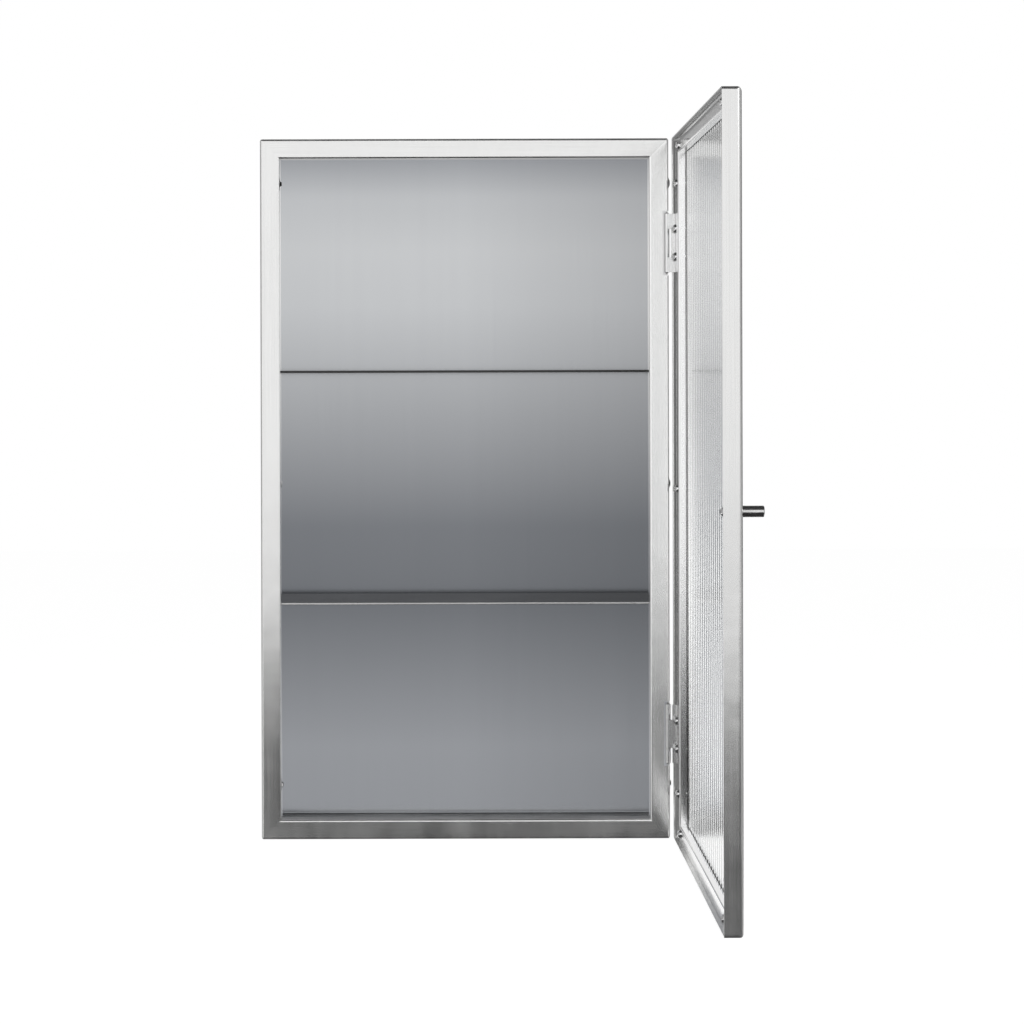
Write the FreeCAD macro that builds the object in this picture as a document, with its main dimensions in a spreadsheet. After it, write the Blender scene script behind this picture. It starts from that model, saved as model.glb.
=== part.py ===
import FreeCAD, Part
import math
import os
import re
import Sketcher
from FreeCAD import Vector

# Driving sizes in millimetres, with one angle in degrees and two counts.
SIZES = {
    # case
    "body_width": 350,
    "body_height": 600,
    "body_depth": 125,
    "panel_sheet": 1.2,
    "flange_width": 17,
    "lip_depth": 12,
    "fold_radius": 2,
    "corner_radius": 2.5,
    # back panel and the two rails behind it
    "back_inset": 16,
    "back_flange": 12,
    "rail_height": 50,
    "rail_sheet": 1.5,
    "keyhole_drop": 40,
    "keyhole_spacing": 250,
    "keyhole_entry_radius": 5,
    "keyhole_slot_radius": 2.5,
    "keyhole_rise": 12,
    # shelves and their brackets
    "shelf_sheet": 2,
    "compartment_count": 3,
    "shelf_rise": 0.6,
    "shelf_gap": 0.8,
    "shelf_edge_radius": 0.4,
    "bracket_sheet": 1.2,
    "bracket_width": 7,
    "bracket_drop": 10,
    "bracket_setback": 8,
    "bracket_gap": 1,
    # hinges
    "hinge_inset": 90,
    "hinge_length": 50,
    "middle_knuckle": 24,
    "knuckle_gap": 0.2,
    "barrel_radius": 2.3,
    "leaf_sheet": 1,
    "leaf_width": 9.4,
    "leaf_fold_radius": 1.4,
    "leaf_screw_height": 12,
    "pin_radius": 1.1,
    "pin_clearance": 0.05,
    "pin_head_radius": 1.9,
    "pin_head_rise": 1.2,
    "notch_clearance": 1.2,
    "bar_depth": 18,
    "bar_inset": 20,
    # screws in the case
    "case_screw_setback": 7,
    "case_screw_inset": 42,
    "case_screw_lift": 4,
    "bar_screw_radius": 2,
    "bar_screw_head_radius": 5,
    "bar_screw_head_rise": 1.8,
    "bar_screw_bite": 3,
    "screw_clearance": 0.05,
    # catch magnets
    "magnet_width": 8,
    "magnet_depth": 8,
    "magnet_height": 30,
    "magnet_edge_radius": 1,
    "magnet_screw_head_radius": 3.2,
    "magnet_screw_head_rise": 1.5,
    "magnet_screw_bite": 5,
    # door frame
    "door_angle": 90,
    "door_gap": 4.6,
    "door_depth": 14.5,
    "door_sheet": 1.2,
    "door_fold_radius": 4.2,
    "border_width": 14,
    # strips that clamp the pane, with their screws and standoffs
    "strip_sheet": 1,
    "strip_drop": 3.7,
    "strip_width": 12.2,
    "strip_gap": 0.2,
    "strip_fold_radius": 1.4,
    "screw_line": 8.4,
    "stile_screw_inset": 39.5,
    "rail_screw_inset": 24,
    "screw_radius": 1.45,
    "screw_head_radius": 3.8,
    "screw_head_rise": 3.2,
    "screw_bite": 6.5,
    "standoff_radius": 2.5,
    "recess_span": 3.2,
    "recess_width": 0.9,
    "recess_depth": 1.1,
    # pane
    "glass_inset": 11.3,
    "glass_thickness": 3.2,
    "glass_play": 0.1,
    "reed_rise": 1,
    "reed_valley": 0.6,
    "reed_count": 26,
    # knob
    "knob_radius": 4.1,
    "knob_length": 15.6,
    "knob_chamfer": 0.5,
    "knob_thread_depth": 9,
    "knob_screw_radius": 2,
    "knob_screw_head_radius": 4,
    "knob_screw_head_rise": 5,
    "knob_screw_bite": 7,
    "knob_spacer_radius": 2.9,
    # how far a cut runs past the material
    "overrun": 5,
}

# Lengths that follow from the sizes above.
DERIVED = {
    "mid_height": "keyhole_drop - body_height / 2",
    "axis_x": "body_width / 2 - panel_sheet - leaf_sheet / 2",
    "axis_y": "-body_depth",
    "wall_face": "body_width / 2 - panel_sheet",
    "lip_face": "body_width / 2 - flange_width",
    "rail_depth": "back_inset - panel_sheet",
    "shelf_height": "body_height / compartment_count / 2",
    "hinge_height": "body_height / 2 - hinge_inset",
    "case_screw_height": "body_height / 2 - case_screw_inset",
    "stile_screw_height": "body_height / 2 - stile_screw_inset",
    "bar_height": "body_height - 2 * bar_inset",
    "bar_front": "notch_depth - body_depth",
    "bar_rear": "bar_front + bar_depth",
    "bracket_rear": "-1 * (back_inset + bracket_setback)",
    "bracket_length": "bracket_rear - bar_rear - bracket_gap",
    "case_screw_y": "case_screw_setback - body_depth",
    "end_knuckle": "(hinge_length - middle_knuckle) / 2 - knuckle_gap",
    "end_knuckle_height": "(hinge_length + middle_knuckle) / 4 + knuckle_gap / 2",
    "pin_shoulder": "hinge_length / 2 + knuckle_gap",
    "notch_depth": "barrel_radius + notch_clearance",
    "notch_half_height": "pin_shoulder + pin_head_rise + notch_clearance",
    "web_start": "-1 * (barrel_radius + notch_clearance)",
    "web_face": "-barrel_radius",
    "web_back": "leaf_sheet - barrel_radius",
    "door_centre": "-1 * axis_x",
    "door_inner": "-door_gap",
    "door_outer": "-1 * (door_gap + door_depth)",
    "border_back": "door_outer + door_sheet",
    "strip_top": "-1 * (door_gap + strip_drop)",
    "strip_under": "strip_top - strip_sheet",
    "strip_foot": "border_back + glass_thickness + glass_play",
    "standoff_length": "strip_under - border_back",
    "side_line": "body_width / 2 - screw_line",
    "end_line": "body_height / 2 - screw_line",
    "hinge_line": "door_centre + side_line",
    "free_line": "door_centre - side_line",
    "glass_half_width": "body_width / 2 - glass_inset",
    "glass_half_height": "body_height / 2 - glass_inset",
    "reed_pitch": "2 * glass_half_width / reed_count",
    "reed_half": "(reed_pitch - reed_valley) / 2",
    "reed_radius": "(reed_half ^ 2 + reed_rise ^ 2) / (2 * reed_rise)",
}

# Two points nearer than this count as one when an edge is looked up.
SAME_PLACE = 0.001

AS_BUILT = ("0", "0", "1", "0")
TO_TOP = ("0", "1", "0", "-90")
TO_LEFT = ("0", "1", "0", "180")
TO_BOTTOM = ("0", "1", "0", "90")
FACING_RIGHT = ("0", "1", "0", "90")
FACING_CASE = ("1", "0", "0", "-90")

doc = FreeCAD.newDocument("wall_cabinet")
sheet = doc.addObject("Spreadsheet::Sheet", "Sizes")
for row, (name, size) in enumerate(SIZES.items(), 1):
    sheet.set(f"A{row}", name)
    sheet.set(f"B{row}", str(size))
    sheet.setAlias(f"B{row}", name)
doc.recompute()

nodes = []


def formula(text):
    """Write a length given in size names as an expression on the sheet's cells."""
    def cell(match):
        word = match.group(0)
        if word in DERIVED:
            return f"({formula(DERIVED[word])})"
        return f"Sizes.{word}"
    return re.sub(r"[a-z_]+", cell, text)


def value(text):
    """Work out a length given in size names."""
    found = sheet.evalExpression(formula(text))
    return getattr(found, "Value", found)


def minus(text):
    """Mirror a length."""
    return f"-1 * ({text})"


def placing(spot, turn):
    """Write a place and a turn as an expression."""
    base = "; ".join(formula(part) for part in spot)
    axis = "; ".join(turn[:3])
    return f"placement(vector({base}); rotation(vector({axis}); {turn[3]}))"


def hinge_placing():
    """Write the place of the door's frame: on the hinge axis, turned by the door's angle."""
    base = "; ".join(formula(part) for part in ("axis_x", "axis_y", "mid_height"))
    return f"placement(vector({base}); rotation(vector(0; 0; 1); {formula('door_angle')}))"


def place(piece, spot=("0", "0", "0"), turn=AS_BUILT, on_door=False):
    """Bind a piece's place. A door piece is set out round the hinge axis with the door shut."""
    text = placing(spot, turn)
    if on_door:
        text = f"{hinge_placing()} * {text}"
    piece.setExpression("Placement", text)


def new_body(name):
    """Start a body."""
    return doc.addObject("PartDesign::Body", name)


def new_sketch(body, role, offset):
    """Start a sketch on one of the body's own planes, moved along the plane's normal."""
    sketch = body.newObject("Sketcher::SketchObject", "Sketch")
    plane = next(part for part in body.Origin.OriginFeatures if part.Role == role)
    sketch.AttachmentSupport = (plane, [""])
    sketch.MapMode = "FlatFace"
    sketch.setExpression("AttachmentOffset.Base.z", formula(offset))
    doc.recompute()
    return sketch


def bind(sketch, constraint, text):
    """Add a constraint driven by the sheet."""
    index = sketch.addConstraint(constraint)
    sketch.setExpression(f"Constraints[{index}]", formula(text))


def fix_point(sketch, geometry, vertex, spot):
    """Hold one point of a sketch at a spot measured from the sketch's origin."""
    for axis, length in zip("XY", spot):
        kind = f"Distance{axis}"
        bind(sketch, Sketcher.Constraint(kind, -1, 1, geometry, vertex, value(length)), length)


def outline(body, role, corners, offset="0", arcs=None):
    """Draw a closed outline. An arc is given by the corner it starts at, its centre and its radius."""
    sketch = new_sketch(body, role, offset)
    points = [Vector(value(x), value(y), 0) for x, y in corners]
    ends = []
    for index, start in enumerate(points):
        stop = points[(index + 1) % len(points)]
        if arcs and index in arcs:
            centre_x, centre_y, radius = arcs[index]
            centre = Vector(value(centre_x), value(centre_y), 0)
            first, last = (math.atan2(p.y - centre.y, p.x - centre.x) for p in (start, stop))
            forward = (last - first) % math.tau < math.pi
            ends.append((1, 2) if forward else (2, 1))
            if not forward:
                first, last = last, first
            circle = Part.Circle(centre, Vector(0, 0, 1), value(radius))
            sketch.addGeometry(Part.ArcOfCircle(circle, first, last))
        else:
            ends.append((1, 2))
            sketch.addGeometry(Part.LineSegment(start, stop))
    for index, corner in enumerate(corners):
        after = (index + 1) % len(corners)
        sketch.addConstraint(
            Sketcher.Constraint("Coincident", index, ends[index][1], after, ends[after][0]))
        fix_point(sketch, index, ends[index][0], corner)
    for index, (centre_x, centre_y, radius) in (arcs or {}).items():
        bind(sketch, Sketcher.Constraint("Radius", index, value(radius)), radius)
    return sketch


def rectangle(body, role, low, high, offset="0"):
    """Draw a rectangle between two opposite corners."""
    corners = [low, (high[0], low[1]), high, (low[0], high[1])]
    return outline(body, role, corners, offset)


def circles(body, role, spots, radius, offset="0"):
    """Draw equal circles."""
    sketch = new_sketch(body, role, offset)
    for index, spot in enumerate(spots):
        centre = Vector(value(spot[0]), value(spot[1]), 0)
        sketch.addGeometry(Part.Circle(centre, Vector(0, 0, 1), value(radius)))
        fix_point(sketch, index, 3, spot)
        bind(sketch, Sketcher.Constraint("Radius", index, value(radius)), radius)
    return sketch


def feature(kind, body, sketch, length, symmetric, reverse):
    """Add a pad or a pocket. With no length it runs through everything."""
    before = body.Shape.Volume if body.Tip else 0
    step = body.newObject(f"PartDesign::{kind}", kind)
    step.Profile = sketch
    step.SideType = "Symmetric" if symmetric else "One side"
    step.Reversed = reverse
    if length is None:
        step.Type = "ThroughAll"
    else:
        step.setExpression("Length", formula(length))
    doc.recompute()
    grown = body.Shape.Volume > before
    if grown != (kind == "Pad") or body.Shape.Volume == before:
        raise RuntimeError(f"{body.Name}: a {kind} missed the material")
    return step


def pad(body, sketch, length, symmetric=False, reverse=False):
    """Add material."""
    return feature("Pad", body, sketch, length, symmetric, reverse)


def pocket(body, sketch, length=None, symmetric=False, reverse=False):
    """Take material away."""
    return feature("Pocket", body, sketch, length, symmetric, reverse)


def revolve(body, sketch):
    """Turn an outline round the sketch's upright axis."""
    step = body.newObject("PartDesign::Revolution", "Revolution")
    step.Profile = sketch
    step.ReferenceAxis = (sketch, ["V_Axis"])
    doc.recompute()


def soften(body, names, size, kind="Fillet", prop="Radius"):
    """Round or chamfer named edges of the body as it stands."""
    base = body.Tip
    step = body.newObject(f"PartDesign::{kind}", kind)
    step.Base = (base, names)
    step.setExpression(prop, formula(size))
    doc.recompute()


def round_edges(body, along, spots, radius):
    """Round the straight edges that run along one axis through the given spots."""
    wanted = [[value(part) for part in spot] for spot in spots]
    others = [axis for axis in "xyz" if axis != along]
    names = []
    for number, edge in enumerate(body.Tip.Shape.Edges, 1):
        run = edge.Vertexes[-1].Point - edge.Vertexes[0].Point
        middle = [getattr(edge.CenterOfMass, axis) for axis in others]
        straight = all(abs(getattr(run, axis)) < SAME_PLACE for axis in others)
        if straight and any(math.dist(middle, spot) < SAME_PLACE for spot in wanted):
            names.append(f"Edge{number}")
    if len(names) != len(spots):
        raise RuntimeError(f"{body.Name}: {len(names)} edges found of {len(spots)}")
    soften(body, names, radius)


def mitre(body, reach, length, span):
    """Cut both ends of a framed piece on the slant, so that four of them meet at the corners."""
    outer = f"{reach} + overrun"
    inner = f"{reach} - {span}"
    past = f"{length} / 2 + overrun"
    short = f"{length} / 2 - {span}"
    for side in (str, minus):
        corners = [(outer, side(past)), (inner, side(past)), (inner, side(short))]
        pocket(body, outline(body, "XZ_Plane", corners), symmetric=True)


def rounded_block(name, low_y, depth):
    """A block of the cabinet's front size with its four corners rounded, to trim framed pieces."""
    body = new_body(name)
    half = ("body_width / 2", "body_height / 2")
    low = tuple(minus(part) for part in half)
    pad(body, rectangle(body, "XZ_Plane", low, half, offset=low_y), depth)
    spots = [(x(half[0]), z(half[1])) for x in (str, minus) for z in (str, minus)]
    round_edges(body, "y", spots, "corner_radius")
    return body


def add_node(piece, label):
    """Keep a piece as one of the files to write."""
    piece.Label = label
    nodes.append(piece)


def trimmed(label, body, block):
    """Trim a framed piece to the rounded block."""
    piece = doc.addObject("Part::Common", label)
    piece.Base = body
    piece.Tool = block
    add_node(piece, label)
    return piece


def group(label, body, spots, turn=AS_BUILT, on_door=False):
    """Place copies of one body as a node of separate solids."""
    copies = []
    for spot in spots:
        copy = doc.addObject("App::Link", f"{label}_copy")
        copy.LinkedObject = body
        place(copy, spot, turn)
        copies.append(copy)
    piece = doc.addObject("Part::Compound", label)
    piece.Links = copies
    place(piece, ("0", "0", "0" if on_door else "mid_height"), on_door=on_door)
    add_node(piece, label)


def heights(height, middle=True):
    """Heights above and below the middle of the cabinet, and the middle itself."""
    return [height, "0", minus(height)] if middle else [height, minus(height)]


def folded_panel(name, reach, length):
    """Fold one side of the case: wall, front flange and return lip."""
    body = new_body(name)
    wall = f"{reach} - panel_sheet"
    edge = f"{reach} - flange_width"
    lip = f"{edge} + panel_sheet"
    front = "-body_depth"
    inside = "panel_sheet - body_depth"
    end = "lip_depth - body_depth"
    corners = [(reach, "0"), (reach, front), (edge, front), (edge, end),
               (lip, end), (lip, inside), (wall, inside), (wall, "0")]
    pad(body, outline(body, "XY_Plane", corners), length, symmetric=True)
    round_edges(body, "z", [(reach, front), (edge, front)], "fold_radius")
    round_edges(body, "z", [(lip, inside), (wall, inside)], "fold_radius - panel_sheet")
    mitre(body, reach, length, "(flange_width + overrun)")
    return body


def folded_angle(name, reach, length):
    """Fold one side of the door's frame: rim and front border."""
    body = new_body(name)
    edge = f"{reach} - border_width"
    inside = f"{reach} - door_sheet"
    corners = [(reach, "door_inner"), (reach, "door_outer"), (edge, "door_outer"),
               (edge, "border_back"), (inside, "border_back"), (inside, "door_inner")]
    pad(body, outline(body, "XY_Plane", corners), length, symmetric=True)
    round_edges(body, "z", [(reach, "door_outer")], "door_fold_radius")
    round_edges(body, "z", [(inside, "border_back")], "door_fold_radius - door_sheet")
    mitre(body, reach, length, "(border_width + overrun)")
    return body


def clamp_strip(name, reach, length, screw_spots):
    """Fold one strip: a flat that takes the screws and a wall that holds the pane."""
    body = new_body(name)
    outer = f"{reach} - door_sheet - strip_gap"
    inner = f"{outer} - strip_width"
    wall = f"{inner} + strip_sheet"
    corners = [(outer, "strip_top"), (outer, "strip_under"), (wall, "strip_under"),
               (wall, "strip_foot"), (inner, "strip_foot"), (inner, "strip_top")]
    pad(body, outline(body, "XY_Plane", corners), length, symmetric=True)
    round_edges(body, "z", [(inner, "strip_top")], "strip_fold_radius")
    round_edges(body, "z", [(wall, "strip_under")], "strip_fold_radius - strip_sheet")
    mitre(body, reach, length, "(strip_width + strip_gap + door_sheet + overrun)")
    spots = [(f"{reach} - screw_line", spot) for spot in screw_spots]
    holes = circles(body, "XZ_Plane", spots, "screw_radius + screw_clearance")
    pocket(body, holes, symmetric=True)
    return body


def dome_screw(name, head, rise, shank, reach):
    """A dome-head screw with a cross recess, its head's underside at zero and its dome upwards."""
    body = new_body(name)
    tip = minus(reach)
    dome = f"({head} ^ 2 + {rise} ^ 2) / (2 * {rise})"
    corners = [("0", rise), (head, "0"), (shank, "0"), (shank, tip), ("0", tip)]
    arcs = {0: ("0", f"{rise} - {dome}", dome)}
    revolve(body, outline(body, "XZ_Plane", corners, arcs=arcs))
    far = "recess_span / 2"
    near = "recess_width / 2"
    quarter = [(far, near), (near, near), (near, far)]
    cross = quarter
    cross = cross + [(minus(x), y) for x, y in reversed(quarter)]
    cross = cross + [(x, minus(y)) for x, y in reversed(cross)]
    pocket(body, outline(body, "XY_Plane", cross, offset=rise), "recess_depth")
    return body


def tube(name, radius, bore):
    """A tube from the back of the door's border to the underside of a strip."""
    body = new_body(name)
    pad(body, circles(body, "XY_Plane", [("0", "0")], radius), "standoff_length")
    pocket(body, circles(body, "XY_Plane", [("0", "0")], bore), symmetric=True)
    return body


def add_knuckle(body, axis, faces, web_end, height, length):
    """Add one knuckle of a hinge and the web, between two faces, that joins it to its plate."""
    web = rectangle(body, "XY_Plane", (faces[0], axis[1]), (faces[1], web_end), offset=height)
    pad(body, web, length, symmetric=True)
    barrel = circles(body, "XY_Plane", [axis], "barrel_radius", offset=height)
    pad(body, barrel, length, symmetric=True)


# Heights of the screws in the case
case_screws = [f"case_screw_lift + {height}" for height in heights("case_screw_height")]
case_spots = [("case_screw_y", height) for height in case_screws]

# Case panels
case_block = rounded_block("case_block", "0", "body_depth")
sides = {
    "right_side_panel": (AS_BUILT, "body_width / 2", "body_height"),
    "left_side_panel": (TO_LEFT, "body_width / 2", "body_height"),
    "top_panel": (TO_TOP, "body_height / 2", "body_width"),
    "bottom_panel": (TO_BOTTOM, "body_height / 2", "body_width"),
}
for label, (turn, reach, length) in sides.items():
    fold = folded_panel(f"{label}_fold", reach, length)
    if label == "right_side_panel":
        inner = "axis_x - notch_depth"
        for height in heights("hinge_height", middle=False):
            low = (inner, f"{height} - notch_half_height")
            high = ("body_width / 2 + overrun", f"{height} + notch_half_height")
            notch = rectangle(fold, "XZ_Plane", low, high, offset="body_depth")
            pocket(fold, notch, "notch_depth")
        holes = circles(fold, "YZ_Plane", case_spots, "bar_screw_radius + screw_clearance", offset=reach)
        pocket(fold, holes, "flange_width / 2")
    if label == "left_side_panel":
        turned_spots = [(y, minus(z)) for y, z in case_spots]
        holes = circles(fold, "YZ_Plane", turned_spots, "screw_radius + screw_clearance", offset="lip_face")
        pocket(fold, holes, "flange_width / 2", reverse=True)
    place(fold, turn=turn)
    place(trimmed(label, fold, case_block), ("0", "0", "mid_height"))

# Back panel: a tray, open to the wall
back_panel = new_body("back_panel")
back_half = ("wall_face", "body_height / 2 - panel_sheet")
tray_half = tuple(f"{part} - panel_sheet" for part in back_half)
for step, half, offset, depth in (
        (pad, back_half, "back_inset", "back_flange"),
        (pocket, tray_half, "back_inset - back_flange", "back_flange - panel_sheet")):
    low = tuple(minus(part) for part in half)
    step(back_panel, rectangle(back_panel, "XZ_Plane", low, half, offset=offset), depth, reverse=True)
for half, depth, radius in (
        (back_half, "-back_inset", "fold_radius"),
        (tray_half, "panel_sheet - back_inset", "fold_radius - panel_sheet")):
    ends = [(depth, side(half[1])) for side in (str, minus)]
    uprights = [(side(half[0]), depth) for side in (str, minus)]
    round_edges(back_panel, "x", ends, radius)
    round_edges(back_panel, "z", uprights, radius)
place(back_panel, ("0", "0", "mid_height"))
add_node(back_panel, "back_panel")

# Rails behind the back panel: the upper one has the keyholes
rail_half = "rail_height / 2"
rail_inside = f"{rail_half} - rail_sheet"
keyholes = [minus("keyhole_spacing / 2"), "keyhole_spacing / 2"]
for label, drop in (("hanger_rail", "0"), ("spacer_rail", "2 * mid_height")):
    rail = new_body(label)
    corners = [("0", minus(rail_half)), ("0", rail_half), ("-rail_depth", rail_half),
               ("-rail_depth", rail_inside), ("-rail_sheet", rail_inside),
               ("-rail_sheet", minus(rail_inside)), ("-rail_depth", minus(rail_inside)),
               ("-rail_depth", minus(rail_half))]
    rail_length = "2 * (wall_face - panel_sheet - fold_radius)"
    pad(rail, outline(rail, "YZ_Plane", corners), rail_length, symmetric=True)
    round_edges(rail, "x", [("0", side(rail_half)) for side in (str, minus)], "fold_radius")
    if label == "hanger_rail":
        entries = [(spot, "0") for spot in keyholes]
        tops = [(spot, "keyhole_rise") for spot in keyholes]
        cut = circles(rail, "XZ_Plane", entries, "keyhole_entry_radius")
        pocket(rail, cut, "rail_depth / 2", reverse=True)
        for spot in keyholes:
            low = (f"{spot} - keyhole_slot_radius", "0")
            high = (f"{spot} + keyhole_slot_radius", "keyhole_rise")
            pocket(rail, rectangle(rail, "XZ_Plane", low, high), "rail_depth / 2", reverse=True)
        cut = circles(rail, "XZ_Plane", tops, "keyhole_slot_radius")
        pocket(rail, cut, "rail_depth / 2", reverse=True)
    place(rail, ("0", "0", drop))
    add_node(rail, label)

# Shelves, resting on angle brackets behind the flanges
shelf_half = "wall_face - leaf_sheet - shelf_gap"
shelf_front = "lip_depth + shelf_gap - body_depth"
shelf_rear = "-1 * (back_inset + shelf_gap)"
for label, side in (("upper_shelf", str), ("lower_shelf", minus)):
    shelf = new_body(label)
    plate = rectangle(shelf, "XY_Plane", (minus(shelf_half), shelf_front), (shelf_half, shelf_rear))
    pad(shelf, plate, "shelf_sheet", symmetric=True)
    edges = [(y, z("shelf_sheet / 2")) for y in (shelf_front, shelf_rear) for z in (str, minus)]
    round_edges(shelf, "x", edges, "shelf_edge_radius")
    place(shelf, ("0", "0", f"mid_height + shelf_rise + {side('shelf_height')}"))
    add_node(shelf, label)

bracket = new_body("bracket")
leg = "bracket_sheet"
corners = [("0", "0"), ("0", "-bracket_drop"), (leg, "-bracket_drop"), (leg, "-bracket_sheet"),
           ("bracket_width", "-bracket_sheet"), ("bracket_width", "0")]
pad(bracket, outline(bracket, "XZ_Plane", corners), "bracket_length", symmetric=True)
bracket_y = "bracket_rear - bracket_length / 2"
shelf_seats = [f"shelf_rise - shelf_sheet / 2 + {side('shelf_height')}" for side in (str, minus)]
half_turn = ("0", "0", "1", "180")
for label, x, turn in (("left_shelf_brackets", minus("wall_face"), AS_BUILT),
                       ("right_shelf_brackets", "wall_face", half_turn)):
    group(label, bracket, [(x, bracket_y, seat) for seat in shelf_seats], turn)

# Hinge bar inside the right side panel, with the case's knuckles
hinge_bar = new_body("hinge_bar")
bar_faces = ("wall_face - leaf_sheet", "wall_face")
strip = rectangle(hinge_bar, "XY_Plane", (bar_faces[0], "bar_front"), (bar_faces[1], "bar_rear"))
pad(hinge_bar, strip, "bar_height", symmetric=True)
case_axis = ("axis_x", "axis_y")
lower = minus("hinge_height")
for height, length in (("hinge_height", "middle_knuckle"),
                       (f"{lower} + end_knuckle_height", "end_knuckle"),
                       (f"{lower} - end_knuckle_height", "end_knuckle")):
    add_knuckle(hinge_bar, case_axis, bar_faces, "bar_front + leaf_sheet", height, length)
pocket(hinge_bar, circles(hinge_bar, "XY_Plane", [case_axis], "pin_radius"), symmetric=True)
holes = circles(hinge_bar, "YZ_Plane", case_spots, "bar_screw_radius + screw_clearance")
pocket(hinge_bar, holes, symmetric=True)
place(hinge_bar, ("0", "0", "mid_height"))
add_node(hinge_bar, "hinge_bar")

bar_screw = dome_screw("bar_screw", "bar_screw_head_radius", "bar_screw_head_rise", "bar_screw_radius",
                       "panel_sheet + leaf_sheet + bar_screw_bite")
spots = [("body_width / 2", y, z) for y, z in case_spots]
group("hinge_bar_screws", bar_screw, spots, FACING_RIGHT)

# Catch magnets behind the left flange, held through its lip
magnet = new_body("magnet")
magnet_low = ("-magnet_width", "-magnet_depth / 2")
block = rectangle(magnet, "XY_Plane", magnet_low, ("0", "magnet_depth / 2"))
pad(magnet, block, "magnet_height", symmetric=True)
soften(magnet, [f"Edge{number}" for number in range(1, len(magnet.Tip.Shape.Edges) + 1)],
       "magnet_edge_radius")
holes = circles(magnet, "YZ_Plane", [("0", "0")], "screw_radius + screw_clearance")
pocket(magnet, holes, symmetric=True)
spots = [(minus("lip_face + panel_sheet"), y, z) for y, z in case_spots]
group("catch_magnets", magnet, spots)

magnet_screw = dome_screw("magnet_screw", "magnet_screw_head_radius", "magnet_screw_head_rise",
                          "screw_radius", "panel_sheet + magnet_screw_bite")
spots = [(minus("lip_face"), y, z) for y, z in case_spots]
group("magnet_screws", magnet_screw, spots, FACING_RIGHT)

# Hinge pins
pin_dome = "(pin_head_radius ^ 2 + pin_head_rise ^ 2) / (2 * pin_head_rise)"
pin_end = "pin_shoulder + pin_head_rise"
corners = [("0", pin_end), ("pin_head_radius", "pin_shoulder"), ("pin_radius", "pin_shoulder"),
           ("pin_radius", "-pin_shoulder"), ("pin_head_radius", "-pin_shoulder"), ("0", minus(pin_end))]
arcs = {
    0: ("0", f"{pin_end} - {pin_dome}", pin_dome),
    4: ("0", f"{pin_dome} - {pin_end}", pin_dome),
}
for label, side in (("upper_hinge_pin", str), ("lower_hinge_pin", minus)):
    pin = new_body(label)
    revolve(pin, outline(pin, "XZ_Plane", corners, arcs=arcs))
    place(pin, ("axis_x", "axis_y", f"mid_height + {side('hinge_height')}"))
    add_node(pin, label)

# Door frame
door_block = rounded_block("door_block", "door_gap", "door_depth")
place(door_block, ("door_centre", "0", "0"))
frame_sides = {
    "door_hinge_stile": sides["right_side_panel"],
    "door_free_stile": sides["left_side_panel"],
    "door_top_rail": sides["top_panel"],
    "door_bottom_rail": sides["bottom_panel"],
}
knob_hole = "knob_screw_radius + screw_clearance"
for label, (turn, reach, length) in frame_sides.items():
    fold = folded_angle(f"{label}_fold", reach, length)
    if label == "door_free_stile":
        pocket(fold, circles(fold, "XZ_Plane", [("side_line", "0")], knob_hole), symmetric=True)
    place(fold, ("door_centre", "0", "0"), turn)
    place(trimmed(label, fold, door_block), on_door=True)

# Strips that clamp the pane
hinge_screws = [f"{side('hinge_height')} {sign} leaf_screw_height"
                for side in (str, minus) for sign in "+-"]
stile_screws = heights("stile_screw_height", middle=False)
rail_screws = heights("body_width / 2 - rail_screw_inset", middle=False)
strips = {
    "hinge_side_strip": ("door_hinge_stile", stile_screws + ["0"] + hinge_screws),
    "free_side_strip": ("door_free_stile", stile_screws),
    "top_strip": ("door_top_rail", rail_screws),
    "bottom_strip": ("door_bottom_rail", rail_screws),
}
for label, (frame_side, screw_spots) in strips.items():
    turn, reach, length = frame_sides[frame_side]
    strip = clamp_strip(label, reach, length, screw_spots)
    if label == "free_side_strip":
        pocket(strip, circles(strip, "XZ_Plane", [("side_line", "0")], knob_hole), symmetric=True)
    place(strip, ("door_centre", "0", "0"), turn, on_door=True)
    add_node(strip, label)

# Screws and standoffs of the strips
stile_spots = [("hinge_line", height) for height in stile_screws + ["0"]]
stile_spots = stile_spots + [("free_line", height) for height in stile_screws]
rail_spots = [(f"door_centre + {x}", side("end_line")) for x in rail_screws for side in (str, minus)]
strip_spots = stile_spots + rail_spots
hinge_spots = [("hinge_line", height) for height in hinge_screws]

strip_screw = dome_screw("strip_screw", "screw_head_radius", "screw_head_rise", "screw_radius",
                         "strip_sheet + screw_bite")
group("strip_screws", strip_screw, [(x, "strip_top", z) for x, z in strip_spots], FACING_CASE, True)
standoff = tube("standoff", "standoff_radius", "screw_radius + screw_clearance")
spots = [(x, "border_back", z) for x, z in strip_spots + hinge_spots]
group("strip_standoffs", standoff, spots, FACING_CASE, True)

# Pane with its reeds on the inner face
reeded_glass = new_body("reeded_glass")
glass_base = "glass_thickness - reed_rise"
reed_foot = f"border_back + {glass_base}"
low = (minus("glass_half_width"), minus("glass_half_height"))
pane = rectangle(reeded_glass, "XZ_Plane", low, ("glass_half_width", "glass_half_height"),
                 offset=minus("border_back"))
pad(reeded_glass, pane, glass_base, reverse=True)
reed_middle = "reed_pitch / 2 - glass_half_width"
reed_left = f"{reed_middle} - reed_half"
reed_right = f"{reed_middle} + reed_half"
reed_root = f"{reed_foot} - reed_rise / 2"
corners = [(reed_right, reed_foot), (reed_left, reed_foot), (reed_left, reed_root), (reed_right, reed_root)]
arcs = {0: (reed_middle, f"{reed_foot} + reed_rise - reed_radius", "reed_radius")}
reed_sketch = outline(reeded_glass, "XY_Plane", corners, arcs=arcs)
reed = pad(reeded_glass, reed_sketch, "2 * glass_half_height", symmetric=True)
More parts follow.
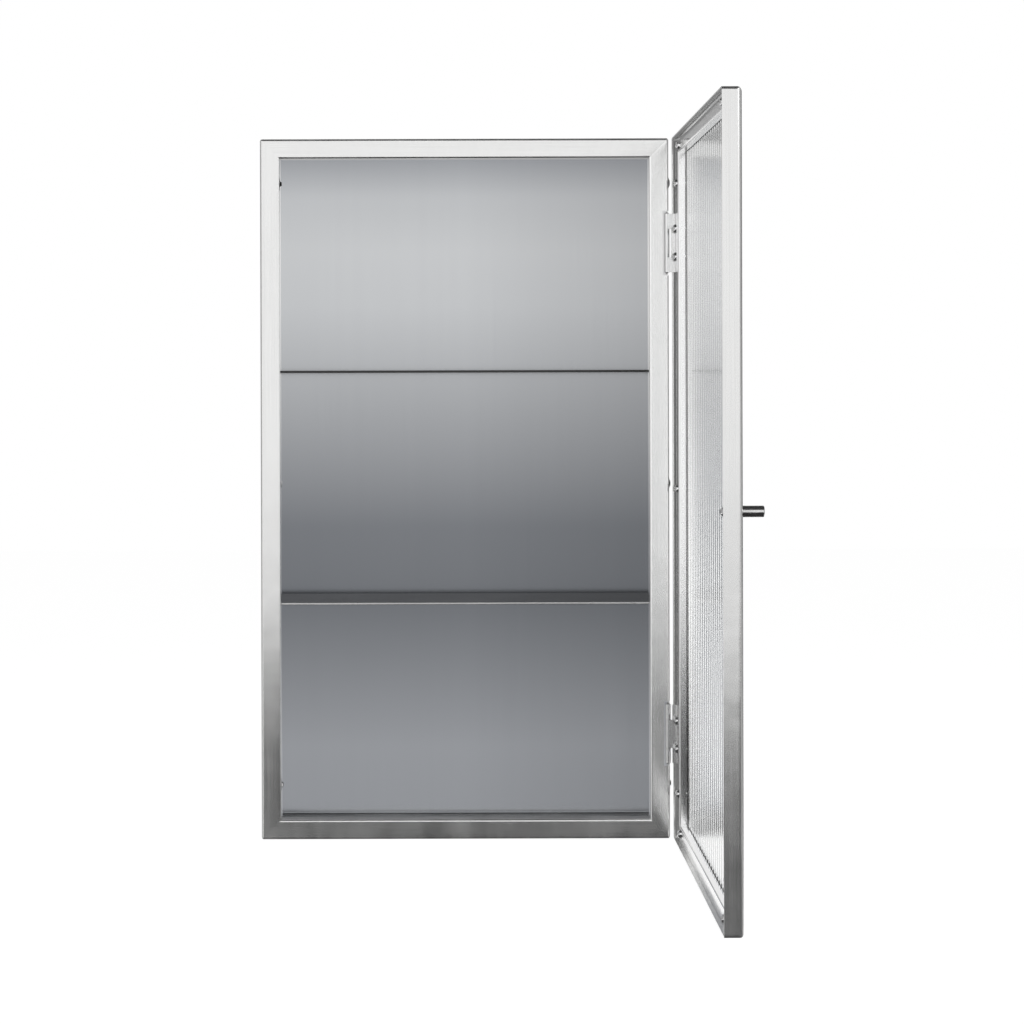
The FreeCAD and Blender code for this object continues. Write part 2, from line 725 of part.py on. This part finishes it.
reeds = reeded_glass.newObject("PartDesign::LinearPattern", "Reeds")
reeds.Originals = [reed]
reeds.Direction = (reed_sketch, ["H_Axis"])
reeds.setExpression("Length", formula("2 * glass_half_width - reed_pitch"))
reeds.setExpression("Occurrences", formula("reed_count"))
reeded_glass.Tip = reeds
doc.recompute()
place(reeded_glass, ("door_centre", "0", "0"), on_door=True)
add_node(reeded_glass, "reeded_glass")

# Door leaves of the hinges
door_axis = ("0", "0")
knuckles = {
    "upper_hinge_leaf": (str, [("end_knuckle_height", "end_knuckle"),
                               (minus("end_knuckle_height"), "end_knuckle")]),
    "lower_hinge_leaf": (minus, [("0", "middle_knuckle")]),
}
for label, (side, barrels) in knuckles.items():
    leaf = new_body(label)
    flat = "strip_top + leaf_sheet"
    end = "web_back - leaf_width"
    corners = [("web_back", "web_start"), ("web_back", "strip_top"), (end, "strip_top"),
               (end, flat), ("web_face", flat), ("web_face", "web_start")]
    pad(leaf, outline(leaf, "XY_Plane", corners), "hinge_length", symmetric=True)
    round_edges(leaf, "z", [("web_back", "strip_top")], "leaf_fold_radius")
    round_edges(leaf, "z", [("web_face", flat)], "leaf_fold_radius - leaf_sheet")
    for height, length in barrels:
        add_knuckle(leaf, door_axis, ("web_face", "web_back"), "web_start - leaf_sheet", height, length)
    pocket(leaf, circles(leaf, "XY_Plane", [door_axis], "pin_radius + pin_clearance"), symmetric=True)
    spots = [("hinge_line", height) for height in heights("leaf_screw_height", middle=False)]
    holes = circles(leaf, "XZ_Plane", spots, "screw_radius + screw_clearance")
    pocket(leaf, holes, symmetric=True)
    place(leaf, ("0", "0", side("hinge_height")), on_door=True)
    add_node(leaf, label)

hinge_screw = dome_screw("hinge_screw", "screw_head_radius", "screw_head_rise", "screw_radius",
                         "leaf_sheet + strip_sheet + screw_bite")
spots = [(x, "strip_top + leaf_sheet", z) for x, z in hinge_spots]
group("hinge_leaf_screws", hinge_screw, spots, FACING_CASE, True)

# Knob, with its screw and spacer
door_knob = new_body("door_knob")
knob_base = minus("door_outer")
pad(door_knob, circles(door_knob, "XZ_Plane", [door_axis], "knob_radius", offset=knob_base), "knob_length")
knob_end = value("door_outer - knob_length")
rims = [f"Edge{number}" for number, edge in enumerate(door_knob.Tip.Shape.Edges, 1)
        if abs(edge.BoundBox.YMax - knob_end) < SAME_PLACE]
soften(door_knob, rims, "knob_chamfer", "Chamfer", "Size")
thread = circles(door_knob, "XZ_Plane", [door_axis], knob_hole, offset=knob_base)
pocket(door_knob, thread, "knob_thread_depth", reverse=True)
place(door_knob, ("free_line", "0", "0"), on_door=True)
add_node(door_knob, "door_knob")

knob_screw = dome_screw("knob_screw", "knob_screw_head_radius", "knob_screw_head_rise", "knob_screw_radius",
                        "door_depth - strip_drop + knob_screw_bite")
place(knob_screw, ("free_line", "strip_top", "0"), FACING_CASE, on_door=True)
add_node(knob_screw, "knob_screw")
knob_spacer = tube("knob_spacer", "knob_spacer_radius", knob_hole)
place(knob_spacer, ("free_line", "border_back", "0"), FACING_CASE, on_door=True)
add_node(knob_spacer, "knob_spacer")

# Check everything before any file is written
doc.recompute()
for item in doc.Objects:
    if "Invalid" in item.State or "Error" in item.State:
        raise RuntimeError(f"{item.Label} did not build: {item.State}")
for node in nodes:
    if node.Shape.isNull() or not node.Shape.isValid() or not node.Shape.Solids:
        raise RuntimeError(f"{node.Label} has no sound shape")
os.makedirs("parts", exist_ok=True)
for node in nodes:
    node.Shape.exportStep(f"parts/{node.Label}.step")
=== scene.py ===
import math

import bpy
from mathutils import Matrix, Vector

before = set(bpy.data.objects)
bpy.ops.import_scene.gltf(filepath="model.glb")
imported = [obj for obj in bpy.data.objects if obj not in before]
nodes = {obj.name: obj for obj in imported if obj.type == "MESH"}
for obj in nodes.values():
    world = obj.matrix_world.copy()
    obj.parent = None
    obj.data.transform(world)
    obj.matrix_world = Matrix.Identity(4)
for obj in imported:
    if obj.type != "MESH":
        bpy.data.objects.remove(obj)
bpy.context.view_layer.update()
scene = bpy.context.scene

# The frame's axes
X, Y, Z = range(3)

# Camera, read from the photograph's perspective: pixels, metres, degrees and the sensor's millimetres
IMAGE = 1024
FOCAL = 2277
AXIS_X, AXIS_Y = 441.7, 378
CAMERA = (-0.0197, -2.075, -0.165)
ROLL = 0.16
SENSOR = 36.0

# Where the colours lie among a Mix node's sockets, and where most values of a noise lie
MIX_FIRST, MIX_SECOND, MIX_RESULT = 6, 7, 2
NOISE_LOW, NOISE_HIGH = 0.3, 0.7


def alike(value):
    """One number for three channels or axes."""
    return (value, value, value)


class Graph:
    """A material's node tree with short calls."""

    def __init__(self, name):
        self.material = bpy.data.materials.new(name)
        self.material.use_nodes = True
        self.tree = self.material.node_tree
        self.shader = self.tree.nodes["Principled BSDF"]

    def put(self, node, key, value):
        """Set one input, or link it where the value is a socket."""
        if isinstance(value, bpy.types.NodeSocket):
            self.tree.links.new(value, node.inputs[key])
        else:
            node.inputs[key].default_value = value

    def add(self, kind, settings=None, **inputs):
        """Add a node, set its properties, and set or link its inputs."""
        node = self.tree.nodes.new(kind)
        for key, value in (settings or {}).items():
            setattr(node, key, value)
        for key, value in inputs.items():
            self.put(node, key.replace("_", " "), value)
        return node

    def shade(self, **inputs):
        """Set or link inputs of the shader."""
        for key, value in inputs.items():
            self.put(self.shader, key.replace("_", " "), value)

    def place(self):
        """The place of a point in the part's frame."""
        return self.add("ShaderNodeTexCoord").outputs["Object"]

    def split(self, vector):
        """The three numbers of a vector."""
        return self.add("ShaderNodeSeparateXYZ", Vector=vector).outputs

    def noise(self, waves, detail=4.0, rough=0.55, seed=0.0):
        """Noise in the part's frame, with its waves per metre along each axis."""
        place = self.add("ShaderNodeMapping", Vector=self.place(), Scale=waves, Location=alike(seed))
        texture = self.add("ShaderNodeTexNoise", Vector=place.outputs[0], Scale=1.0, Detail=detail,
                           Roughness=rough)
        return texture.outputs[0]

    def span(self, value, low, high, start=NOISE_LOW, end=NOISE_HIGH):
        """Spread the values from start to end over the range from low to high."""
        node = self.add("ShaderNodeMapRange", Value=value, From_Min=start, From_Max=end, To_Min=low,
                        To_Max=high)
        return node.outputs[0]

    def combine(self, operation, first, second):
        """Work out one number from two."""
        node = self.add("ShaderNodeMath", {"operation": operation})
        self.put(node, 0, first)
        self.put(node, 1, second)
        return node.outputs[0]

    def mix(self, factor, first, second):
        """Mix two colours, each a socket or its red, green and blue."""
        node = self.add("ShaderNodeMix", {"data_type": "RGBA"}, Factor=factor)
        for key, value in ((MIX_FIRST, first), (MIX_SECOND, second)):
            self.put(node, key, (*value, 1) if isinstance(value, tuple) else value)
        return node.outputs[MIX_RESULT]

    def bump(self, height, strength, distance):
        """Add a height to the shader's normal, over any height it has already."""
        node = self.add("ShaderNodeBump", Height=height, Strength=strength, Distance=distance)
        for before in self.shader.inputs["Normal"].links:
            self.put(node, "Normal", before.from_socket)
        self.shade(Normal=node.outputs[0])


# Brushed sheet: waves per metre, the shares of its lines and bands, and the depth of a line in metres
LINE_ALONG, LINE_ACROSS = 9.0, 1600.0
BAND_ALONG, BAND_ACROSS = 2.0, 150.0
BLOT_WAVES = alike(9.0)
SMUDGE_WAVES = (40.0, 40.0, 16.0)
DENT_WAVES = alike(26.0)
LINE_SHARE, BAND_SHARE = 0.55, 0.45
LINE_DEPTH = 0.0004
# How much of the haze lies on clean and on smudged places
CLEAN_SHARE, SMUDGED_SHARE = 0.3, 1.9
# How far forward a face looks that takes the edge tone, real and painted, in full, and one that takes none
EDGE_FULL, EDGE_NONE = -0.9, -0.5


def grain(axis, along, across):
    """Waves per metre for grain that runs along one axis."""
    return tuple(along if index == axis else across for index in (X, Y, Z))


def satin_steel(name, axis, dark, light, rough, fine=LINE_ACROSS, streak=0.05, blotch=0.05, relief=0.05,
                grazing_shade=1.0, edge_cut_and_light=None, waves=0.0, haze=0.0):
    """Brushed sheet: fine grain along one axis, with soft blotches where it was handled.

    Grazing shade is how much of its light a flat view keeps; below one it is a painted shade on the sheet.
    Edge cut and light is the tone of faces that look forward, a cut edge's own dark tone together with
    painted shade, or a painted highlight where it is light.
    Waves is the height in metres of the sheet's unevenness. Haze is how dull the handled patches are.
    """
    graph = Graph(name)
    lines = graph.noise(grain(axis, LINE_ALONG, fine), detail=3.0)
    bands = graph.noise(grain(axis, BAND_ALONG, BAND_ACROSS), detail=5.0, seed=3.1)
    blots = graph.noise(BLOT_WAVES, detail=6.0, rough=0.6, seed=7.7)
    brushed = graph.combine("ADD", graph.combine("MULTIPLY", lines, LINE_SHARE),
                            graph.combine("MULTIPLY", bands, BAND_SHARE))
    tone = graph.mix(graph.span(brushed, 0.0, 1.0), dark, light)
    if edge_cut_and_light:
        facing = graph.add("ShaderNodeNewGeometry").outputs["Normal"]
        edge = graph.span(graph.split(facing)[Y], 1.0, 0.0, EDGE_FULL, EDGE_NONE)
        tone = graph.mix(edge, tone, alike(edge_cut_and_light))
    uneven = graph.combine("ADD", graph.span(brushed, rough - streak, rough + streak),
                           graph.span(blots, -blotch, blotch))
    graph.shade(Base_Color=tone, Specular_Tint=(*alike(grazing_shade), 1), Roughness=uneven, Metallic=1.0)
    if haze:
        smudges = graph.noise(SMUDGE_WAVES, detail=6.0, rough=0.6, seed=5.3)
        graph.shade(Metallic=graph.span(smudges, 1.0 - CLEAN_SHARE * haze, 1.0 - SMUDGED_SHARE * haze))
    if waves:
        graph.bump(graph.noise(DENT_WAVES, detail=2.0, seed=1.9), strength=1.0, distance=waves)
    graph.bump(lines, strength=relief, distance=LINE_DEPTH)
    return graph.material


# Turned metal: waves per metre, and how much rougher its marks are
MARK_WAVES = alike(700.0)
DULL_WAVES = alike(90.0)
MARK_ROUGH = 0.12


def turned_steel(name, dark, light, rough):
    """Bright turned metal of screws, pins and the knob, with faint marks."""
    graph = Graph(name)
    marks = graph.noise(MARK_WAVES, detail=4.0)
    dull = graph.noise(DULL_WAVES, detail=3.0, seed=2.3)
    graph.shade(Base_Color=graph.mix(graph.span(dull, 0.0, 1.0), alike(dark), alike(light)),
                Roughness=graph.span(marks, rough, rough + MARK_ROUGH), Metallic=1.0)
    graph.bump(marks, strength=0.04, distance=0.0002)
    return graph.material


# Moulded plastic: waves per metre, and its dark and light tone
PIT_WAVES = alike(2500.0)
WEAR_WAVES = alike(120.0)
PLASTIC = ((0.03, 0.03, 0.032), (0.06, 0.06, 0.06))


def magnet_plastic():
    """Dark moulded plastic with a fine spark-eroded grain."""
    graph = Graph("magnet_plastic")
    pits = graph.noise(PIT_WAVES, detail=3.0)
    wear = graph.noise(WEAR_WAVES, detail=4.0, seed=5.0)
    graph.shade(Base_Color=graph.mix(graph.span(wear, 0.0, 1.0), *PLASTIC),
                Roughness=graph.span(wear, low=0.45, high=0.65))
    graph.bump(pits, strength=0.2, distance=0.0002)
    return graph.material


# Rolled glass: waves per metre, its dark and light tone, and how it bends light
RIPPLE_WAVES = (30.0, 30.0, 5.0)
WIPE_WAVES = (14.0, 14.0, 5.0)
GLASS = ((0.955, 0.965, 0.965), (0.98, 0.985, 0.985))
GLASS_INDEX = 1.5


def pane_glass():
    """Clear rolled glass: a slight ripple along the reeds and a little haze where it was wiped."""
    graph = Graph("rolled_glass")
    ripple = graph.noise(RIPPLE_WAVES, detail=2.0)
    wiped = graph.noise(WIPE_WAVES, detail=5.0, seed=4.2)
    graph.shade(Base_Color=graph.mix(graph.span(wiped, 0.0, 1.0), *GLASS),
                Roughness=graph.span(wiped, low=0.05, high=0.12),
                Transmission_Weight=1.0, IOR=GLASS_INDEX)
    graph.bump(ripple, strength=0.004, distance=0.001)
    return graph.material


def dress(material, *names):
    """Give CAD nodes a material."""
    for name in names:
        slots = nodes[name].data.materials
        slots.clear()
        slots.append(material)


# Materials: the dark and light tone of each sheet, and what several sheets share
CASE = ((0.77, 0.77, 0.765), (0.9, 0.9, 0.895))
# The right side's steel is lighter than the rest of the case, a painted light
RIGHT_SIDE_PAINTED_LIGHT = ((0.92, 0.92, 0.915), (0.99, 0.99, 0.985))
BACK = ((0.653, 0.665, 0.68), (0.673, 0.685, 0.7))
RAIL = ((0.5, 0.51, 0.52), (0.6, 0.61, 0.62))
# The shelves' steel is much darker than the case's, a painted shade
SHELF = (alike(0.22), alike(0.46))
BRACKET = (alike(0.6), alike(0.72))
DOOR = ((0.75, 0.75, 0.745), (0.87, 0.87, 0.865))
# The strips' steel is lighter than the door's, a painted light
STRIP_PAINTED_LIGHT = (alike(0.94), alike(0.985))
HINGE = (alike(0.78), alike(0.9))
CASE_ROUGH, SHELF_ROUGH, DOOR_ROUGH, STRIP_ROUGH = 0.19, 0.2, 0.22, 0.14
WAVES = 0.00025
CASE_HAZE = 0.09
# The shelves keep less light in a flat view, a painted shade on their tops
SHELF_RELIEF_AND_SHADE = {"relief": 0.1, "grazing_shade": 0.42}

dress(satin_steel("case_left", Z, *CASE, CASE_ROUGH, waves=WAVES, haze=CASE_HAZE), "left_side_panel")
dress(satin_steel("case_right_painted_light", Z, *RIGHT_SIDE_PAINTED_LIGHT, CASE_ROUGH, waves=WAVES, haze=CASE_HAZE),
      "right_side_panel")
# The top and bottom panels keep less light in a flat view than the sides, a painted shade, the bottom most
dress(satin_steel("case_top", X, *CASE, CASE_ROUGH, grazing_shade=0.6, waves=WAVES, haze=CASE_HAZE), "top_panel")
dress(satin_steel("case_bottom", X, *CASE, CASE_ROUGH, grazing_shade=0.28, waves=WAVES, haze=0.12), "bottom_panel")
dress(satin_steel("back_sheet", Z, *BACK, rough=0.25, fine=2600.0, streak=0.01, blotch=0.012, relief=0.03),
      "back_panel")
dress(satin_steel("rail_sheet", X, *RAIL, rough=0.36), "hanger_rail", "spacer_rail")
# The upper shelf's front edge is a cut edge's dark tone with painted shade, and the lower shelf's is a
# painted highlight
dress(satin_steel("shelf_cut_edge_painted_shade", X, *SHELF, SHELF_ROUGH, edge_cut_and_light=0.05, **SHELF_RELIEF_AND_SHADE), "upper_shelf")
dress(satin_steel("shelf_edge_painted_highlight", X, *SHELF, SHELF_ROUGH, edge_cut_and_light=0.55, **SHELF_RELIEF_AND_SHADE), "lower_shelf")
dress(satin_steel("bracket_sheet", Y, *BRACKET, rough=0.3), "left_shelf_brackets", "right_shelf_brackets")
dress(satin_steel("door_upright", Z, *DOOR, DOOR_ROUGH, waves=WAVES, haze=0.06),
      "door_hinge_stile", "door_free_stile")
dress(satin_steel("door_level", Y, *DOOR, DOOR_ROUGH, waves=WAVES), "door_top_rail", "door_bottom_rail")
dress(satin_steel("strip_upright", Z, *STRIP_PAINTED_LIGHT, STRIP_ROUGH), "hinge_side_strip", "free_side_strip")
dress(satin_steel("strip_level", Y, *STRIP_PAINTED_LIGHT, STRIP_ROUGH), "top_strip", "bottom_strip")
dress(satin_steel("hinge_plate", Z, *HINGE, rough=0.24, fine=900.0),
      "hinge_bar", "upper_hinge_leaf", "lower_hinge_leaf")
dress(turned_steel("screw_metal", dark=0.75, light=0.92, rough=0.05), "hinge_bar_screws", "magnet_screws",
      "strip_screws", "strip_standoffs", "hinge_leaf_screws", "knob_screw", "knob_spacer", "upper_hinge_pin",
      "lower_hinge_pin")
dress(turned_steel("knob_metal", dark=0.6, light=0.75, rough=0.16), "door_knob")
dress(magnet_plastic(), "catch_magnets")
dress(pane_glass(), "reeded_glass")


def link(name, data):
    """Put an object in the scene."""
    made = bpy.data.objects.new(name, data)
    scene.collection.objects.link(made)
    return made


def sheet(name, corners):
    """A flat quadrilateral of the stage."""
    mesh = bpy.data.meshes.new(name)
    mesh.from_pydata(corners, [], [(0, 1, 2, 3)])
    made = link(name, mesh)
    return made


def upright(x, y, z):
    """Corners of a sheet across the view."""
    return [(x[0], y, z[0]), (x[1], y, z[0]), (x[1], y, z[1]), (x[0], y, z[1])]


def sideways(x, y, z):
    """Corners of a sheet along the view."""
    return [(x, y[0], z[0]), (x, y[1], z[0]), (x, y[1], z[1]), (x, y[0], z[1])]


def sloping(x, y, z):
    """Corners of a sheet with one height in front and another behind."""
    return [(x[0], y[0], z[0]), (x[1], y[0], z[0]), (x[1], y[1], z[1]), (x[0], y[1], z[1])]


def level(x, y, z):
    """Corners of a sheet that lies flat."""
    return sloping(x, y, (z, z))


def seen_by_eye(tree):
    """One for what the camera, reflections and glass see, and nothing for the light on surfaces."""
    path = tree.nodes.new("ShaderNodeLightPath")
    total = path.outputs["Is Camera Ray"]
    for name in ("Is Glossy Ray", "Is Transmission Ray"):
        node = tree.nodes.new("ShaderNodeMath")
        node.operation = "MAXIMUM"
        tree.links.new(total, node.inputs[0])
        tree.links.new(path.outputs[name], node.inputs[1])
        total = node.outputs[0]
    return total


# Floor: pale, near white to the eye, and it keeps the shadow
WHITE, BLACK = (1, 1, 1, 1), (0, 0, 0, 1)
FLOOR = -1.0
FLOOR_REACH = (-9, 9)
FLOOR_TONE, FLOOR_GLOW = 0.9, 0.45
floor = sheet("floor", level(FLOOR_REACH, FLOOR_REACH, FLOOR))
graph = Graph("floor_pale")
glow = graph.combine("MULTIPLY", seen_by_eye(graph.tree), FLOOR_GLOW)
graph.shade(Base_Color=(*alike(FLOOR_TONE), 1), Roughness=0.9, Specular_IOR_Level=0.0, Emission_Color=WHITE,
            Emission_Strength=glow)
floor.data.materials.append(graph.material)


def card_paint(name, grey, fade=None):
    """A card's matt grey. A fade gives the heights at which the card is clear and at which it is full."""
    graph = Graph(name)
    graph.shade(Base_Color=(*alike(grey), 1), Roughness=1.0)
    if fade:
        graph.shade(Alpha=graph.span(graph.split(graph.place())[Z], 0.0, 1.0, *fade))
    return graph.material


def even_paint(name, light):
    """A lit card's paint with the same light all over."""
    graph = Graph(name)
    graph.shade(Base_Color=BLACK, Specular_IOR_Level=0.0, Emission_Color=WHITE, Emission_Strength=light)
    return graph.material


# Where a lit card's light starts to fall off to the right, and where it has fallen off
FALL_START, FALL_END = 0.0, 0.16


def lit_paint(name, tones, right=1.0, cool=0.0):
    """A lit card's paint: each tone is a height and the light there.

    Right is the share of light left at the card's right, and cool is how blue its darkest light is.
    """
    graph = Graph(name)
    graph.shade(Base_Color=BLACK, Specular_IOR_Level=0.0)
    place = graph.split(graph.place())
    low, high = tones[0][0], tones[-1][0]
    most = max(light for height, light in tones)
    ramp = graph.add("ShaderNodeValToRGB", Fac=graph.span(place[Z], 0.0, 1.0, low, high))
    stops = ramp.color_ramp.elements
    while len(stops) < len(tones):
        stops.new(0.5)
    for stop, (height, light) in zip(stops, tones):
        stop.position = (height - low) / (high - low)
        share = light / most
        blue = cool * (1 - share)
        stop.color = (share * (1 - blue), share, share * (1 + 2 * blue), 1)
    graph.shade(Emission_Color=ramp.outputs[0], Emission_Strength=most)
    if right < 1.0:
        graph.shade(Emission_Strength=graph.span(place[X], most, most * right, FALL_START, FALL_END))
    return graph.material


def card(name, corners, paint, through_glass=False, reflected=True):
    """A card that only reflections see, and glass too or alone if asked."""
    made = sheet(name, corners)
    made.data.materials.append(paint)
    made.visible_camera = False
    made.visible_diffuse = False
    made.visible_shadow = False
    made.visible_glossy = reflected
    made.visible_transmission = through_glass


# Cards round the set: dark below, overhead and far to the right, grey beside and behind the cabinet
TOP, LOW, SIDE_BASE = 1.1, -0.96, -0.99
LEFT, RIGHT = -1.6, 1.8
BEHIND = 0.35
DOOR_LINE = 0.19
dark = card_paint("card_dark", 0.05)
low = card_paint("card_low", 0.035)
card("low_card", sloping(x=(-0.9, 3), y=(-2.4, -0.3), z=(-0.68, LOW)), low, through_glass=True)
card("under_card", level(x=(-0.9, 0.9), y=(-0.3, 0.3), z=LOW), dark)
card("top_card", level(x=(-2.5, 2.5), y=(-2.6, 2), z=TOP), dark)
card("right_card", sideways(x=RIGHT, y=(0.3, 2), z=(SIDE_BASE, TOP)), dark)
grey = card_paint("card_grey", 0.6)
card("near_right_card", sideways(x=RIGHT, y=(-1.2, 0.3), z=(SIDE_BASE, TOP)), grey)
card("left_card", sideways(x=LEFT, y=(-1.4, 2), z=(SIDE_BASE, TOP)), grey)
rear = card_paint("card_rear", 0.5, fade=(-0.3, -0.05))
card("rear_card", upright(x=(-1.2, DOOR_LINE), y=BEHIND, z=(-0.6, TOP)), rear, through_glass=True)
high = card_paint("card_high", 0.15, fade=(-0.2, -0.05))
card("high_card", upright(x=(DOOR_LINE, 1.2), y=BEHIND, z=(-0.3, TOP)), high)

# Painted shade: a dark card behind the gap beside the door, and dark cards that paint dark reflections
# on two screw heads on the left lip; a lit card paints a glint on the lower head
HEAD_Z = {"upper_head_painted_reflection_card": 0.002, "lower_head_painted_reflection_card": -0.514}
HEAD_REACH = 0.005
card("gap_painted_shade_card", upright(x=(0.176, 0.235), y=0.03, z=(-0.56, 0.06)), dark)
for name, z in HEAD_Z.items():
    card(name, sideways(x=-0.1535, y=(-0.1225, -0.111), z=(z - HEAD_REACH, z + HEAD_REACH)), dark)
glint = even_paint("card_glint", 1.0)
card("glint_card", sideways(x=-0.1538, y=(-0.1206, -0.1187), z=(-0.517, -0.511)), glint)

# Dim light that paints shade in the door's rim and under its top rail, light that paints a highlight on its
# bottom strip, light before the back panel that paints its sheen, and light behind the glass
CASE_INSIDE = (-0.558, 0.038)
RIM_SHADE_TONES = [(-0.56, 0.2), (-0.4, 0.14), (0.04, 0.14)]
SHEEN_TONES = [(-0.55, 0.44), (-0.5, 0.455), (-0.37, 0.25), (-0.3, 0.285), (-0.1, 0.8), (-0.05, 0.84),
               (0.0, 0.77), (0.035, 0.5)]
GLASS_TONES = [(-0.95, 0.5), (-0.68, 0.7), (-0.65, 1.5), (-0.41, 1.5), (-0.19, 0.65), (0.03, 0.75),
               (0.09, 0.5), (0.11, 0.25), (TOP, 0.25)]
rim = lit_paint("card_rim_shade", RIM_SHADE_TONES)
card("rim_shade_card", upright(x=(0.1793, 0.1815), y=-0.1262, z=CASE_INSIDE), rim)
rail = even_paint("card_rail_shade", 0.22)
card("rail_shade_card", level(x=(0.1785, 0.1815), y=(-0.472, -0.125), z=0.0365), rail)
ledge = even_paint("card_ledge_highlight", 0.85)
card("ledge_highlight_card", level(x=(0.1825, 0.1875), y=(-0.459, -0.138), z=-0.5448), ledge)
sheen = lit_paint("card_sheen", SHEEN_TONES, right=0.8, cool=0.045)
card("sheen_card", upright(x=(-0.173, 0.173), y=-0.03, z=CASE_INSIDE), sheen)
rear_light = lit_paint("card_rear_light", GLASS_TONES)
card("glass_card", upright(x=(DOOR_LINE, 1.1), y=0.45, z=(-0.95, TOP)), rear_light, through_glass=True,
     reflected=False)

# White surroundings, with less light on surfaces than the eye sees
LIGHT_ON_SURFACES, LIGHT_SEEN = 0.6, 1.0
world = bpy.data.worlds.new("surroundings")
world.use_nodes = True
scene.world = world
tree = world.node_tree
background = tree.nodes["Background"]
background.inputs["Color"].default_value = WHITE
strength = tree.nodes.new("ShaderNodeMapRange")
strength.inputs["To Min"].default_value = LIGHT_ON_SURFACES
strength.inputs["To Max"].default_value = LIGHT_SEEN
tree.links.new(seen_by_eye(tree), strength.inputs["Value"])
tree.links.new(strength.outputs[0], background.inputs["Strength"])


def soft_light(name, place, target, size, power):
    """A large soft lamp turned to a point."""
    data = bpy.data.lights.new(name, "AREA")
    data.shape = "SQUARE"
    data.size = size
    data.energy = power
    lamp = link(name, data)
    lamp.location = place
    aim = Vector(target) - Vector(place)
    lamp.rotation_euler = aim.to_track_quat("-Z", "Y").to_euler()


soft_light("key_light", place=(-1.2, -2.2, 1.6), target=(0, -0.1, -0.2), size=1.4, power=18)
soft_light("fill_light", place=(1.8, -1.6, 0.9), target=(0.1, -0.2, -0.3), size=1.2, power=8)

lens = bpy.data.cameras.new("camera")
lens.sensor_fit = "HORIZONTAL"
lens.sensor_width = SENSOR
lens.lens = FOCAL / IMAGE * SENSOR
lens.shift_x = (IMAGE / 2 - AXIS_X) / IMAGE
lens.shift_y = (AXIS_Y - IMAGE / 2) / IMAGE
camera = link("camera", lens)
camera.location = CAMERA
camera.rotation_euler = (math.radians(90), math.radians(ROLL), 0)
scene.camera = camera

scene.view_settings.view_transform = "Standard"
